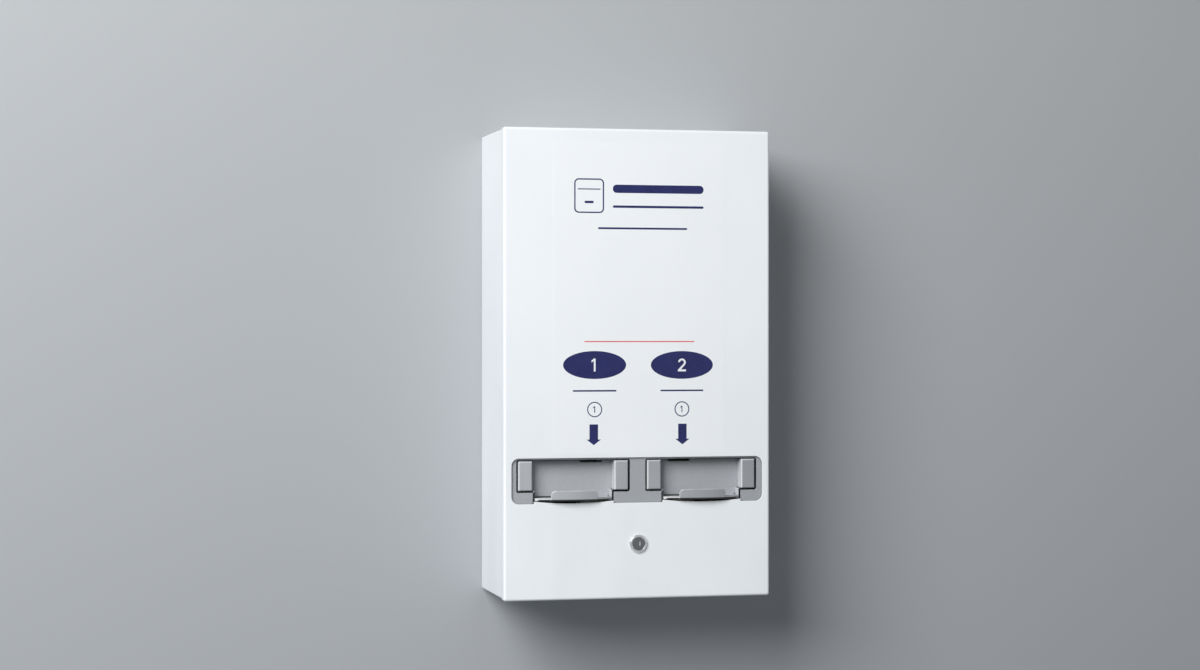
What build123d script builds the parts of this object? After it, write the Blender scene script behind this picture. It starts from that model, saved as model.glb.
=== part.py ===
from build123d import *
import os

# Wall-mounted vending machine for napkin packs, with two coin-operated drawers behind one lift-up cover.
# Millimetres. X runs to the right seen from the front, Z runs up, and the front faces -Y.
# The origin is on the wall face, in the middle of the four wall holes.

# Whole cabinet
cabinet_width = 350.0
cabinet_height = 600.0
cabinet_depth = 162.0
overrun = 2.0

# Cover, a folded tray that closes over the front of the case
cover_sheet = 1.2
cover_return = 14.5
cover_bend = 3.0
cover_inner_break = 0.9
cover_gap = 0.3
window_side_margin = 10.0
window_height = 57.7
window_rise = 151.35
window_corner = 9.5
lip_side_play = 0.4
lip_end_rise = 3.0
lip_middle_rise = 0.3

# Case, a folded box with an open front
case_sheet = 1.2
case_bend = 2.5
case_edge_break = 1.0
case_flange = 14.0
flange_relief = 4.0
wall_hole_inset_x = 25.0
wall_hole_inset_z = 30.0
wall_hole_radius = 3.5

# Hinge along the top, under the cover's return
hinge_end_gap = 10.0
hinge_knuckles = 3
knuckle_gap = 0.4
knuckle_radius = 2.5
hinge_pin_radius = 1.25
hinge_pin_play = 0.06
hinge_leaf = 1.0
hinge_leaf_height = 13.0
hinge_clearance = 0.4
hinge_face_play = 0.2
hinge_pin_end = 1.5

# Bezel behind the window
bezel_plate = 2.4
bezel_rim = 1.2
bezel_margin_side = 4.8
bezel_margin_top = 9.2
bezel_edge = 0.6
rim_step = 1.5
bezel_corner = 8.0
opening_corner = 2.5
opening_play = 2.1
opening_top = 2.2
opening_top_play = 1.3
opening_drop = 2.7
foot_gap = 2.1
ledge_side_gap = 0.9
bezel_side_bar = 7.0
bezel_centre_bar = 20.8
bezel_bar = 5.8
clip_sheet = 1.0
clip_width = 14.0
clip_offset = 120.0
clip_edge_gap = 0.2
clip_foot = 8.0
clip_grip = 4.0
thread_play = 0.05

# Drawers
block_width = 18.2
block_rise = 16.5
block_bevel = 1.3
block_wall = 2.2
panel_recess = 16.5
panel_thickness = 2.5
ledge_drop = 10.0
ledge_thickness = 3.0
ledge_slope = 0.9
ledge_end_setback = 1.0
ledge_bow = 10.6
ledge_end_gap = 1.9
cheek_thickness = 1.6
tab_width = 61.0
tab_height = 13.1
tab_thickness = 2.6
tab_proud = 0.8
tab_corner = 6.0
coin_edge_gap = 25.6
coin_slot_width = 29.0
coin_slot_thickness = 3.6
coin_boss_wall = 1.9
coin_notch_depth = 2.4
lug_inset = 4.6
lug_drop = 20.0
lug_width = 5.0
lug_height = 4.0
lug_pad = 1.4
lug_barb = 0.8
lug_barb_length = 1.5
lug_play = 0.2
lug_seat_gap = 0.1
screw_play = 0.2

# Drawer trays
tray_sheet = 1.2
pocket_side_inset = 1.4
pocket_depth = 66.0
tray_floor_rise = 1.8
tray_top_drop = 3.0
tray_lip_drop = 27.0
tray_lip_thickness = 2.0
tray_lip_reach = 10.6
tray_rear_gap = 7.5

# Runners, drawer frames and shelf
runner_web = 2.0
runner_jaw = 2.0
runner_reach = 8.2
runner_play = 0.3
barb_length = 8.0
barb_height = 3.6
barb_inset = 18.0
barb_hook = 1.0
barb_hook_height = 1.2
frame_sheet = 1.5
frame_front_gap = 1.0
frame_rear_gap = 5.0
frame_top_rise = 12.0
frame_window_margin = 16.0
pawl_room = 13.2
shelf_sheet = 1.5
shelf_flange = 12.0
shelf_side_gap = 0.3
shelf_front_gap = 2.6
angle_leg = 15.0
angle_sheet = 1.5
angle_inset = 14.0
shelf_screw_radius = 1.5
shelf_screw_head = 3.0
shelf_screw_head_height = 1.8
shelf_screw_length = 6.0

# Coin pawls
pawl_sheet = 1.6
pawl_width = 14.0
pawl_nose_height = 5.8
pawl_nose_drop = 1.0
pawl_nose_setback = 0.6
pawl_reach = 44.2
pawl_tail = 36.0
pawl_eye_radius = 3.2
pawl_pin_radius = 2.0
pawl_pin_play = 0.05
pawl_side_play = 0.4
pawl_ear = 1.5
pawl_ear_half = 5.0
pawl_pin_end = 0.8
weight_length = 16.0
weight_height = 4.6
weight_corner = 1.5

# Coin chutes and cash box
chute_sheet = 1.2
chute_side_room = 2.5
chute_depth = 15.8
chute_top_gap = 2.5
chute_cover_gap = 0.6
chute_bend_drop = 21.7
chute_run = 44.6
chute_fall = 30.0
chute_flange = 10.0
box_sheet = 1.0
box_side_gap = 42.3
box_lock_gap = 6.5
box_chute_gap = 1.8
box_rear_gap = 6.8
box_corner = 4.0
box_lip = 9.0
box_grip_width = 61.0
box_floor_gap = 0.3

# Product columns, their rails and the follower weights
column_sheet = 1.2
column_side_step = 0.2
column_depth_play = 0.4
column_front_lip = 13.0
column_corner = 2.2
column_top_gap = 18.5
column_bottom_gap = 2.0
rail_sheet = 1.5
rail_side_gap = 32.3
rail_height = 34.0
rail_flange = 13.0
upper_rail_drop = 95.0
lower_rail_rise = 245.0
stop_tab_width = 8.0
stop_tab_reach = 5.0
stop_tab_rise = 5.0
stop_tab_inset = 14.0
follower_plate = 10.0
follower_side_gap = 0.8
follower_rear_gap = 1.6
follower_front_gap = 0.6
follower_tongue_gap = 16.0
follower_tongue_reach = 9.0
follower_tongue_plate = 2.0
follower_tongue_rise = 16.0
follower_seat_gap = 0.3
follower_corner = 3.0

# Lock at the bottom of the cover
lock_rise = 70.0
lock_head_radius = 11.75
lock_head_height = 2.6
lock_head_edge = 1.0
lock_barrel_radius = 9.5
lock_barrel_flats = 16.0
lock_barrel_length = 25.0
lock_hole_play = 0.2
lock_counterbore_radius = 8.5
lock_counterbore_depth = 2.0
plug_head_play = 0.2
plug_radius = 6.0
plug_play = 0.06
plug_sink = 0.3
plug_seat_gap = 0.1
key_slot_length = 5.2
key_slot_width = 1.3
key_slot_depth = 1.4
key_slot_offset = 1.6
lock_nut_across = 25.0
lock_nut_height = 4.5
cam_length = 38.0
cam_width = 15.0
cam_thickness = 2.0
cam_tip_radius = 5.0
cam_gap = 0.3
cam_square = 6.5
cam_square_play = 0.1
cam_strike_gap = 0.7
cam_screw_radius = 1.9
cam_screw_head = 4.2
cam_screw_head_height = 2.2
cam_screw_length = 9.0
cam_screw_tip_gap = 0.1
strike_width = 44.0
strike_sheet = 1.5
strike_overlap = 10.0
strike_foot = 15.0
strike_corner = 3.0

# Places that follow from the sizes above
half_width = cabinet_width / 2
half_height = cabinet_height / 2
cover_front = -cabinet_depth
cover_back = cover_front + cover_sheet
cover_rear_edge = cover_front + cover_return
case_half_width = half_width - cover_sheet - cover_gap
case_half_height = half_height - cover_sheet - cover_gap
case_front = cover_back + cover_gap
case_inside_x = case_half_width - case_sheet
case_floor_z = -case_half_height + case_sheet
wall_hole_x = half_width - wall_hole_inset_x
wall_hole_z = half_height - wall_hole_inset_z
window_width = cabinet_width - 2 * window_side_margin
window_centre_z = -half_height + window_rise
window_top = window_centre_z + window_height / 2
window_bottom = window_centre_z - window_height / 2

bezel_back = cover_back + bezel_rim + bezel_plate
bezel_face = cover_back + bezel_rim
bezel_top = window_top + bezel_margin_top
bezel_half_width = window_width / 2 + bezel_margin_side
opening_half_width = (window_width - 2 * bezel_side_bar - bezel_centre_bar) / 4
unit_pitch = 2 * opening_half_width + bezel_centre_bar

block_top = window_top - opening_top - opening_top_play
block_bottom = window_bottom + block_rise
block_outer = opening_half_width - opening_play
block_inner = block_outer - block_width
ledge_half_width = block_inner - ledge_end_gap
lip_half_width = ledge_half_width + lip_side_play
coin_offset = ledge_half_width - coin_edge_gap
opening_top_z = block_top + opening_top_play
foot_top = block_bottom - foot_gap
ledge_top = block_bottom - ledge_drop + ledge_slope
ledge_bottom = block_bottom - ledge_drop - ledge_thickness
lower_half_width = ledge_half_width + ledge_side_gap
bezel_opening_bottom = window_bottom - opening_drop
bezel_bottom = bezel_opening_bottom - bezel_bar

panel_front = bezel_face + panel_recess
panel_back = panel_front + panel_thickness
tray_front = panel_back + coin_slot_thickness + coin_boss_wall
pocket_front = tray_front + tray_sheet
pocket_back = pocket_front + pocket_depth
tray_rear = -case_sheet - tray_rear_gap
tray_top = block_top - tray_top_drop
tray_bottom = ledge_bottom + tray_floor_rise
pocket_half_width = ledge_half_width - pocket_side_inset
tray_half_width = pocket_half_width + tray_sheet
lip_top = block_top - tray_lip_drop
lip_bottom = lip_top - tray_lip_thickness
lip_outer = tray_half_width + tray_lip_reach

runner_inner = lip_outer + runner_play
runner_outer = runner_inner + runner_web
frame_outer = runner_outer + frame_sheet
frame_front = panel_back + frame_front_gap
frame_rear = -case_sheet - frame_rear_gap
frame_floor = ledge_bottom - pawl_room
frame_base = frame_floor - frame_sheet
frame_top = block_top + frame_top_rise
shelf_bottom = frame_base - shelf_sheet
shelf_front = frame_front + shelf_front_gap
shelf_rear = frame_rear
barb_places = [frame_front + barb_inset, frame_rear - barb_inset]
barb_middle_z = (lip_bottom + lip_top) / 2
lug_offset = pocket_half_width - lug_inset
lug_z = block_top - lug_drop

pawl_nose_y = panel_back + coin_slot_thickness / 2 - pawl_nose_setback
pawl_nose_top = ledge_bottom - pawl_nose_drop
pawl_pin_y = pawl_nose_y + pawl_reach
pawl_bottom = pawl_nose_top - pawl_nose_height
pawl_top = pawl_bottom + pawl_sheet
pawl_pin_z = pawl_bottom + pawl_sheet / 2

chute_top = ledge_bottom - chute_top_gap
chute_front = bezel_back + chute_cover_gap
chute_back = chute_front + chute_depth
chute_width = coin_slot_width + 2 * chute_side_room

column_front = pocket_front - column_sheet
column_inner_width = 2 * (pocket_half_width - column_side_step)
column_inner_depth = pocket_depth + column_depth_play
column_back = column_front + 2 * column_sheet + column_inner_depth
column_half_width = column_inner_width / 2 + column_sheet
column_bottom = tray_top + column_bottom_gap
column_top = case_half_height - column_top_gap
follower_bottom = column_bottom + stop_tab_rise + column_sheet + follower_seat_gap

upper_rail_z = half_height - upper_rail_drop
lower_rail_z = -half_height + lower_rail_rise
rail_half_width = case_inside_x - rail_side_gap

hinge_length = cabinet_width - 2 * hinge_end_gap
hinge_z = half_height - cover_sheet - knuckle_radius
hinge_y = cover_rear_edge + hinge_face_play + knuckle_radius
hinge_leaf_back = hinge_y + knuckle_radius + hinge_face_play

lock_z = -half_height + lock_rise
barrel_rear = cover_front + lock_barrel_length
cam_front = barrel_rear + cam_gap
strike_back = cam_front - cam_strike_gap

box_front = cam_front + cam_thickness + cam_screw_head_height + box_lock_gap + box_lip
box_rear = -case_sheet - box_rear_gap
box_bottom = case_floor_z + box_floor_gap
box_top = chute_top - chute_bend_drop - chute_fall - box_chute_gap
box_half_width = case_inside_x - box_side_gap


def slab(x_low, x_high, y_low, y_high, z_low, z_high):
    """A rectangular solid between two corners."""
    corner = Pos(x_low, y_low, z_low)
    lows = (Align.MIN, Align.MIN, Align.MIN)
    return corner * Box(x_high - x_low, y_high - y_low, z_high - z_low, align=lows)


def toward_front(sketch, y_back, y_front):
    """Extrude an XZ outline from y_back out to y_front."""
    return extrude(Plane.XZ.offset(-y_back) * sketch, amount=y_back - y_front)


def rod_along_y(x, z, radius, y_back, y_front):
    """A round bar along Y."""
    return toward_front(Pos(x, z) * Circle(radius), y_back, y_front)


def rod_along_x(y, z, radius, x_low, x_high):
    """A round bar along X."""
    return extrude(Plane.YZ.offset(x_low) * (Pos(y, z) * Circle(radius)), amount=x_high - x_low)


def rod_along_z(x, y, radius, z_low, z_high):
    """A round bar along Z."""
    return extrude(Plane.XY.offset(z_low) * (Pos(x, y) * Circle(radius)), amount=z_high - z_low)


def rectangle_between(x_low, x_high, z_low, z_high):
    """A flat rectangle between two corners."""
    return Pos(x_low, z_low) * Rectangle(x_high - x_low, z_high - z_low, align=(Align.MIN, Align.MIN))


def across(profile, x_low, x_high):
    """Extrude a YZ outline along X."""
    return extrude(Plane.YZ.offset(x_low) * profile, amount=x_high - x_low)


def outline(points):
    """A closed flat face through the points."""
    return make_face(Polyline(*points, close=True))


def make_case():
    """The folded box: back, four walls, inward front flanges and a stepped top for the hinge."""
    rise = case_half_height
    outer = slab(-case_half_width, case_half_width, case_front, 0, -rise, rise)
    outer = fillet(outer.edges().filter_by(Axis.Z), case_bend)
    ends = outer.faces().filter_by(Axis.Z)
    outer = chamfer(ends.edges(), case_edge_break)
    inside_z = rise - case_sheet
    inner = slab(-case_inside_x, case_inside_x, case_front + case_sheet, -case_sheet, -inside_z, inside_z)
    inner = fillet(inner.edges().filter_by(Axis.Z), case_bend - case_sheet)
    case = outer - inner
    mouth_x = case_half_width - case_flange
    mouth_z = rise - case_flange
    mouth_back = case_front + case_sheet + overrun
    case -= slab(-mouth_x, mouth_x, case_front - overrun, mouth_back, -mouth_z, mouth_z)
    case -= slab(
        -case_inside_x,
        case_inside_x,
        case_front - overrun,
        mouth_back,
        bezel_bottom - flange_relief,
        bezel_top + flange_relief,
    )
    case -= slab(
        -case_inside_x,
        case_inside_x,
        case_front - overrun,
        hinge_leaf_back,
        mouth_z,
        rise + overrun,
    )
    case += slab(
        -case_inside_x,
        case_inside_x,
        hinge_leaf_back,
        hinge_leaf_back + case_sheet,
        mouth_z,
        inside_z + case_sheet / 2,
    )
    for x in (-wall_hole_x, wall_hole_x):
        for z in (-wall_hole_z, wall_hole_z):
            case -= rod_along_y(x, z, wall_hole_radius, overrun, -case_sheet - overrun)
    return case


def window_outline():
    """The window in the cover: a rounded rectangle with a shallow scoop under each drawer."""
    window = Pos(0, window_centre_z) * RectangleRounded(window_width, window_height, window_corner)
    for unit_x in (-unit_pitch / 2, unit_pitch / 2):
        left = unit_x - lip_half_width
        right = unit_x + lip_half_width
        low = window_bottom - overrun
        end = window_bottom + lip_end_rise
        scoop = ThreePointArc((right, end), (unit_x, window_bottom + lip_middle_rise), (left, end))
        sides = Polyline((left, end), (left, low), (right, low), (right, end))
        window -= make_face(Curve() + [scoop, sides])
    return window


def folded_edges(block):
    """The front edges of a block and the four edges that run back from them."""
    return block.faces().sort_by(Axis.Y)[0].edges() + block.edges().filter_by(Axis.Y)


def lock_hole(play):
    """The double-D outline of the lock barrel, opened by a play."""
    return Circle(lock_barrel_radius + play) & Rectangle(
        lock_barrel_flats + 2 * play, 2 * (lock_barrel_radius + overrun)
    )


def make_cover():
    """The cover tray, with its window, the lock hole and returns over the case."""
    cover = slab(-half_width, half_width, cover_front, cover_rear_edge, -half_height, half_height)
    cover = fillet(folded_edges(cover), cover_bend)
    inside_x = half_width - cover_sheet
    inside_z = half_height - cover_sheet
    hollow = slab(-inside_x, inside_x, cover_back, cover_rear_edge + overrun, -inside_z, inside_z)
    cover -= chamfer(folded_edges(hollow), cover_inner_break)
    cover -= toward_front(window_outline(), cover_back + overrun, cover_front - overrun)
    hole = Pos(0, lock_z) * lock_hole(lock_hole_play)
    return cover - toward_front(hole, cover_back + overrun, cover_front - overrun)


def hinge_knuckle_spans():
    """Start and end of each knuckle along X."""
    length = (hinge_length - (hinge_knuckles - 1) * knuckle_gap) / hinge_knuckles
    starts = [-hinge_length / 2 + i * (length + knuckle_gap) for i in range(hinge_knuckles)]
    return [(start, start + length) for start in starts]


def make_hinge_leaves():
    """The two leaves of the piano hinge, with every other knuckle each."""
    bore = hinge_pin_radius + hinge_pin_play
    tail = hinge_z - knuckle_radius - hinge_clearance
    case_leaf = slab(
        -hinge_length / 2,
        hinge_length / 2,
        hinge_leaf_back - hinge_leaf,
        hinge_leaf_back,
        case_half_height - hinge_leaf_height,
        tail,
    )
    strip_rear = hinge_y - knuckle_radius - hinge_clearance
    strip_top = hinge_z + knuckle_radius
    cover_leaf = slab(
        -hinge_length / 2,
        hinge_length / 2,
        cover_back + cover_bend,
        strip_rear,
        strip_top - hinge_leaf,
        strip_top,
    )
    for i, (start, end) in enumerate(hinge_knuckle_spans()):
        knuckle = rod_along_x(hinge_y, hinge_z, knuckle_radius, start, end)
        if i % 2:
            web = slab(start, end, strip_rear, hinge_y, strip_top - hinge_leaf, strip_top)
            cover_leaf += knuckle + web
        else:
            web = slab(start, end, hinge_leaf_back - hinge_leaf, hinge_leaf_back, tail, hinge_z)
            case_leaf += knuckle + web
    hole = rod_along_x(hinge_y, hinge_z, bore, -hinge_length / 2 - overrun, hinge_length / 2 + overrun)
    return case_leaf - hole, cover_leaf - hole


def make_hinge_pin():
    """The pin through all the knuckles."""
    half = hinge_length / 2 + hinge_pin_end
    return rod_along_x(hinge_y, hinge_z, hinge_pin_radius, -half, half)


def make_bezel():
    """The moulded bezel: a plate with two T-shaped openings and a rim against the back of the cover."""
    height = bezel_top - bezel_bottom
    centre = Pos(0, (bezel_top + bezel_bottom) / 2)
    body = chamfer((centre * Rectangle(2 * bezel_half_width, height)).vertices(), bezel_corner)
    openings = Sketch()
    for unit_x in (-unit_pitch / 2, unit_pitch / 2):
        left = unit_x - opening_half_width
        right = unit_x + opening_half_width
        upper = rectangle_between(left, right, foot_top, opening_top_z)
        upper = fillet(upper.vertices(), opening_corner)
        left = unit_x - lower_half_width
        right = unit_x + lower_half_width
        low = rectangle_between(left, right, bezel_opening_bottom, foot_top + opening_corner)
        openings += upper + low
    plate = toward_front(body - openings, bezel_back, bezel_face)
    front = plate.faces().sort_by(Axis.Y)[0]
    edges = ShapeList(edge for wire in front.inner_wires() for edge in wire.edges())
    plate = chamfer(edges, bezel_edge)
    shown = Pos(0, window_centre_z) * Rectangle(window_width + 2 * rim_step, window_height + 2 * rim_step)
    for unit_x in (-unit_pitch / 2, unit_pitch / 2):
        left = unit_x - lower_half_width
        right = unit_x + lower_half_width
        shown += rectangle_between(left, right, bezel_opening_bottom, window_bottom)
    return plate + toward_front(body - shown, bezel_face, cover_back)


def make_bezel_clips():
    """Four folded clips welded to the back of the cover, which hold the bezel by its top and bottom edges."""
    clips = []
    for edge, outward in ((bezel_top, 1), (bezel_bottom, -1)):
        riser = edge + outward * clip_edge_gap
        back = riser + outward * clip_sheet
        foot_end = back + outward * clip_foot
        grip_end = edge - outward * clip_grip
        profile = outline(
            [
                (cover_back, foot_end),
                (cover_back, riser),
                (bezel_back, riser),
                (bezel_back, grip_end),
                (bezel_back + clip_sheet, grip_end),
                (bezel_back + clip_sheet, back),
                (cover_back + clip_sheet, back),
                (cover_back + clip_sheet, foot_end),
            ]
        )
        for x in (-clip_offset, clip_offset):
            clips.append(across(profile, x - clip_width / 2, x + clip_width / 2))
    return Compound(clips)


def bow_radius():
    """Radius of the ledge's bowed front, from its half width and its bow."""
    return (ledge_half_width**2 + ledge_bow**2) / (2 * ledge_bow)


def make_fascia(unit_x, inward):
    """The moulded front of a drawer: blocks, recessed panel, cheeks, bowed ledge, pull tab, coin channel."""
    left = unit_x - ledge_half_width
    right = unit_x + ledge_half_width
    plate = rectangle_between(unit_x - block_outer, unit_x + block_outer, block_bottom, block_top)
    plate += rectangle_between(left, right, ledge_bottom, block_bottom)
    coin_x = unit_x + inward * coin_offset
    half_slot = coin_slot_width / 2
    boss_top = block_top - coin_notch_depth
    plate -= rectangle_between(coin_x - half_slot, coin_x + half_slot, boss_top, block_top)
    fascia = toward_front(plate, panel_back, panel_front)

    for side in (-1, 1):
        near = unit_x + side * block_inner
        far = unit_x + side * block_outer
        low, high = min(near, far), max(near, far)
        block = slab(low, high, bezel_face, panel_back, block_bottom, block_top)
        front_edges = block.faces().sort_by(Axis.Y)[0].edges()
        fascia += chamfer(front_edges, block_bevel)
        fascia -= slab(
            low + block_wall,
            high - block_wall,
            bezel_face + block_wall,
            panel_back + overrun,
            block_bottom + block_wall,
            block_top - block_wall,
        )

    bow_end = bezel_face + ledge_end_setback
    bow_middle = bow_end - ledge_bow
    bow = ThreePointArc((right, bow_end), (unit_x, bow_middle), (left, bow_end))
    sides = Polyline((left, bow_end), (left, panel_front), (right, panel_front), (right, bow_end))
    plan = Plane.XY.offset(ledge_bottom) * make_face(Curve() + [bow, sides])
    ledge = extrude(plan, amount=ledge_thickness + ledge_slope)
    slope = outline(
        [
            (panel_front, ledge_bottom),
            (panel_front, ledge_top),
            (bow_middle, ledge_top - ledge_slope),
            (bow_middle, ledge_bottom),
        ]
    )
    fascia += ledge & across(slope, left, right)
    for low, high in ((left, left + cheek_thickness), (right - cheek_thickness, right)):
        fascia += slab(low, high, bow_end, panel_front, ledge_bottom, block_bottom)

    centre_y = bow_middle + bow_radius()
    ring = Circle(bow_radius() + tab_proud) - Circle(bow_radius() + tab_proud - tab_thickness)
    band = Plane.XY.offset(ledge_bottom) * (Pos(unit_x, centre_y) * ring)
    tab = extrude(band, amount=tab_height)
    half_tab = tab_width / 2
    tab_top = ledge_bottom + tab_height
    front_shape = rectangle_between(unit_x - half_tab, unit_x + half_tab, ledge_bottom, tab_top)
    front_shape = fillet(front_shape.vertices().group_by(Axis.Y)[-1], tab_corner)
    fascia += tab & toward_front(front_shape, bow_end, bow_middle - tab_proud - overrun)

    boss_half = half_slot + coin_boss_wall
    fascia += slab(coin_x - boss_half, coin_x + boss_half, panel_back, tray_front, ledge_bottom, boss_top)
    fascia -= slab(
        coin_x - half_slot,
        coin_x + half_slot,
        panel_back,
        panel_back + coin_slot_thickness,
        ledge_bottom - overrun,
        boss_top + overrun,
    )
    for side in (-1, 1):
        fascia += make_lug(unit_x + side * lug_offset)
    return fascia


def make_lug(lug_x):
    """A snap lug behind the panel: a pad against the tray, a neck through its slot and a barb."""
    half = lug_width / 2
    low, high = lug_z - lug_height / 2, lug_z + lug_height / 2
    pad_half = half + lug_pad
    lug = slab(lug_x - pad_half, lug_x + pad_half, panel_back, tray_front, low - lug_pad, high + lug_pad)
    barb_front = pocket_front + lug_seat_gap
    barb_rear = barb_front + lug_barb_length
    lug += slab(lug_x - half, lug_x + half, tray_front, barb_rear, low, high)
    return lug + slab(lug_x - half, lug_x + half, barb_front, barb_rear, low - lug_barb, low)


def make_tray(unit_x):
    """The folded tray: a pocket for one pack, a deck that holds the stack back, and lips for the runners."""
    half = tray_half_width
    tray = slab(unit_x - half, unit_x + half, tray_front, tray_rear, tray_bottom, tray_top)
    inner = pocket_half_width
    floor = tray_bottom + tray_sheet
    tray -= slab(unit_x - inner, unit_x + inner, pocket_front, pocket_back, floor, tray_top + overrun)
    tray -= slab(
        unit_x - inner,
        unit_x + inner,
        pocket_back + tray_sheet,
        tray_rear + overrun,
        tray_bottom - overrun,
        tray_top - tray_sheet,
    )
    for side in (-1, 1):
        edge = unit_x + side * half
        reach = unit_x + side * lip_outer
        tray += slab(min(edge, reach), max(edge, reach), tray_front, tray_rear, lip_bottom, lip_top)
        slot_x = unit_x + side * lug_offset
        slot_half = lug_width / 2 + lug_play
        slot_rise = lug_height / 2 + lug_play
        slot_rear = pocket_front + lug_seat_gap
        low, high = lug_z - slot_rise, lug_z + slot_rise
        tray -= slab(slot_x - slot_half, slot_x + slot_half, tray_front - overrun, slot_rear, low, high)
    return tray


def make_runners(unit_x):
    """Two moulded runners whose jaws hold the lips of the tray, each with two clips through the frame."""
    runners = []
    for side in (-1, 1):
        web_in, web_out = runner_inner, runner_outer
        jaw_in = web_in - runner_reach
        low = lip_bottom - runner_play
        high = lip_top + runner_play
        section = rectangle_between(jaw_in, web_out, low - runner_jaw, high + runner_jaw)
        section -= rectangle_between(jaw_in - overrun, web_in, low, high)
        runner = toward_front(section, frame_rear, frame_front)
        barb_low, barb_high = barb_middle_z - barb_height / 2, barb_middle_z + barb_height / 2
        hook_inner = frame_outer + lug_seat_gap
        hook_outer = hook_inner + barb_hook_height
        for y in barb_places:
            front, rear = y - barb_length / 2, y + barb_length / 2
            runner += slab(web_out, hook_outer, front, rear, barb_low, barb_high)
            runner += slab(hook_inner, hook_outer, rear, rear + barb_hook, barb_low, barb_high)
        if side < 0:
            runner = mirror(runner, Plane.YZ)
        runners.append(Pos(unit_x, 0, 0) * runner)
    return Compound(runners)


def make_frame(unit_x, inward):
    """The channel that carries one drawer, with ears for the pawl's pin folded up from its floor."""
    frame = slab(unit_x - frame_outer, unit_x + frame_outer, frame_front, frame_rear, frame_base, frame_top)
    frame -= slab(
        unit_x - runner_outer,
        unit_x + runner_outer,
        frame_front - overrun,
        frame_rear + overrun,
        frame_floor,
        frame_top + overrun,
    )
    window_low = lip_top + runner_jaw + frame_window_margin / 2
    window = slab(
        unit_x - frame_outer - overrun,
        unit_x + frame_outer + overrun,
        frame_front + frame_window_margin,
        frame_rear - frame_window_margin,
        window_low,
        frame_top - frame_window_margin / 2,
    )
    frame -= chamfer(window.edges().filter_by(Axis.X), opening_corner)
    pawl_x = unit_x + inward * coin_offset
    for side in (-1, 1):
        near = pawl_x + side * (pawl_width / 2 + pawl_side_play)
        far = near + side * pawl_ear
        ear = slab(
            min(near, far),
            max(near, far),
            pawl_pin_y - pawl_ear_half,
            pawl_pin_y + pawl_ear_half,
            frame_floor,
            pawl_pin_z + pawl_ear_half,
        )
        top_edges = ear.edges().filter_by(Axis.X).group_by(Axis.Z)[-1]
        frame += chamfer(top_edges, pawl_ear_half - pawl_sheet)
        hole = pawl_pin_radius + pawl_pin_play
        hole_low = min(near, far) - pawl_side_play / 2
        hole_high = max(near, far) + pawl_side_play / 2
        frame -= rod_along_x(pawl_pin_y, pawl_pin_z, hole, hole_low, hole_high)
    slot_rise = barb_height / 2 + lug_play
    slot_half = barb_length / 2 + lug_play
    for y in barb_places:
        frame -= slab(
            unit_x - frame_outer - overrun,
            unit_x + frame_outer + overrun,
            y - slot_half,
            y + slot_half,
            barb_middle_z - slot_rise,
            barb_middle_z + slot_rise,
        )
    return frame


def screw_down(x, y, seat_z):
    """A hexagon-head screw that points down, with its head on seat_z."""
    screw = rod_along_z(x, y, shelf_screw_radius, seat_z - shelf_screw_length, seat_z)
    head = Pos(x, y) * RegularPolygon(shelf_screw_head, 6, major_radius=False)
    return screw + extrude(Plane.XY.offset(seat_z) * head, amount=shelf_screw_head_height)


def shelf_screw_xy():
    """The places of the two screws that hold the shelf to its angles."""
    x = case_inside_x - angle_leg / 2
    return [(side * x, (shelf_front + shelf_rear) / 2) for side in (-1, 1)]


def make_shelf():
    """The folded shelf that carries the drawer frames and splits the mechanism from the cash box."""
    half = case_inside_x - shelf_side_gap
    shelf = slab(-half, half, shelf_front, shelf_rear, shelf_bottom, frame_base)
    flange_half = half - angle_leg - shelf_side_gap
    flange_low = shelf_bottom - shelf_flange + shelf_sheet
    for y in (shelf_front, shelf_rear - shelf_sheet):
        shelf += slab(-flange_half, flange_half, y, y + shelf_sheet, flange_low, frame_base)
    for side in (-1, 1):
        chute_x = side * (unit_pitch / 2 - coin_offset)
        half_notch = chute_width / 2 + shelf_sheet
        notch_top = shelf_bottom
        shelf -= slab(
            chute_x - half_notch,
            chute_x + half_notch,
            shelf_front - overrun,
            shelf_front + shelf_sheet,
            shelf_bottom - shelf_flange,
            notch_top,
        )
    hole = shelf_screw_radius + screw_play
    for x, y in shelf_screw_xy():
        shelf -= rod_along_z(x, y, hole, shelf_bottom - overrun, frame_base + overrun)
    return shelf


def make_shelf_angles():
    """Two angles welded to the sides of the case, under the shelf."""
    angles = []
    for side in (-1, 1):
        leg = case_inside_x - angle_leg
        low, high = shelf_bottom - angle_leg, shelf_bottom
        front, rear = shelf_front + angle_inset, shelf_rear - angle_inset
        angle = slab(leg, case_inside_x, front, rear, high - angle_sheet, high)
        angle += slab(case_inside_x - angle_sheet, case_inside_x, front, rear, low, high)
        for x, y in shelf_screw_xy():
            if x > 0:
                angle -= rod_along_z(x, y, shelf_screw_radius + thread_play, low, high + overrun)
        angles.append(mirror(angle, Plane.YZ) if side < 0 else angle)
    return Compound(angles)


def make_pawl(unit_x, inward):
    """The sheet pawl: a rolled eye on its pin, and a nose that stands up into the coin channel."""
    pawl_x = unit_x + inward * coin_offset
    low, high = pawl_x - pawl_width / 2, pawl_x + pawl_width / 2
    nose_front = pawl_nose_y - pawl_sheet / 2
    lever = outline(
        [
            (nose_front, pawl_bottom),
            (pawl_pin_y + pawl_tail, pawl_bottom),
            (pawl_pin_y + pawl_tail, pawl_top),
            (nose_front + pawl_sheet, pawl_top),
            (nose_front + pawl_sheet, pawl_nose_top),
            (nose_front, pawl_nose_top),
        ]
    )
    lever += Pos(pawl_pin_y, pawl_pin_z) * Circle(pawl_eye_radius)
    lever -= Pos(pawl_pin_y, pawl_pin_z) * Circle(pawl_pin_radius + pawl_pin_play)
    return across(lever, low, high)


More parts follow.
